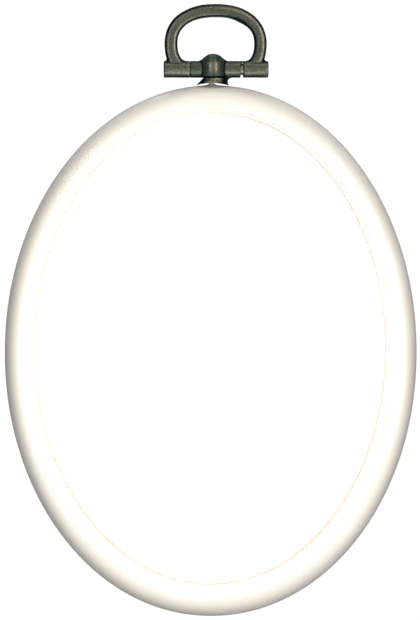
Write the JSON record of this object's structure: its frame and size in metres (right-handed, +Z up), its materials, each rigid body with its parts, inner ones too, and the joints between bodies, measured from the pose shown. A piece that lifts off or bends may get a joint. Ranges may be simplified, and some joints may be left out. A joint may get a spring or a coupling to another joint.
{
  "type": "embroidery hoop",
  "caption": "Oval embroidery hoop: flexible vinyl ring pushed over a rigid inner ring, with a hinged bronze hanging loop on a turning stem.",
  "frame": {"origin": "the hanging point: the top of the inside of the hanger's loop, where a nail or hook bears", "axes": "+Z up along the oval's long axis, -Y out of the front of the hoop, +X to the right seen from the front"},
  "size_m": [0.1096, 0.0123, 0.1631],
  "materials": {
    "vinyl": "gloss",
    "plastic": "satin",
    "bronze": "satin",
    "pin_metal": "satin",
    "zinc_steel": "satin"
  },
  "bodies": {
    "hanger_loop": {"hanger_bail": "bronze", "hinge_pin_left": "pin_metal", "hinge_pin_right": "pin_metal"},
    "stem": {"hanger_stem": "bronze", "fixing_screw": "zinc_steel"},
    "vinyl_ring": {"outer_ring": "vinyl", "screw_washer": "zinc_steel"},
    "cloth_ring": {"inner_ring": "plastic"}
  },
  "joints": [
    {"name": "loop_hinge", "type": "hinge", "parent": "hanger_loop", "child": "stem", "pos_m": [0, 0, -0.01365], "axis": [1, 0, 0], "range_deg": [-100, 100]},
    {"name": "stem_swivel", "type": "hinge", "parent": "stem", "child": "vinyl_ring", "pos_m": [0.0002, 0, -0.018], "axis": [0, 0, 1], "range_deg": [-90, 90]},
    {"name": "inner_ring_slide", "type": "slide", "parent": "vinyl_ring", "child": "cloth_ring", "axis": [0, 1, 0], "range_m": [0, 0.015]}
  ]
}
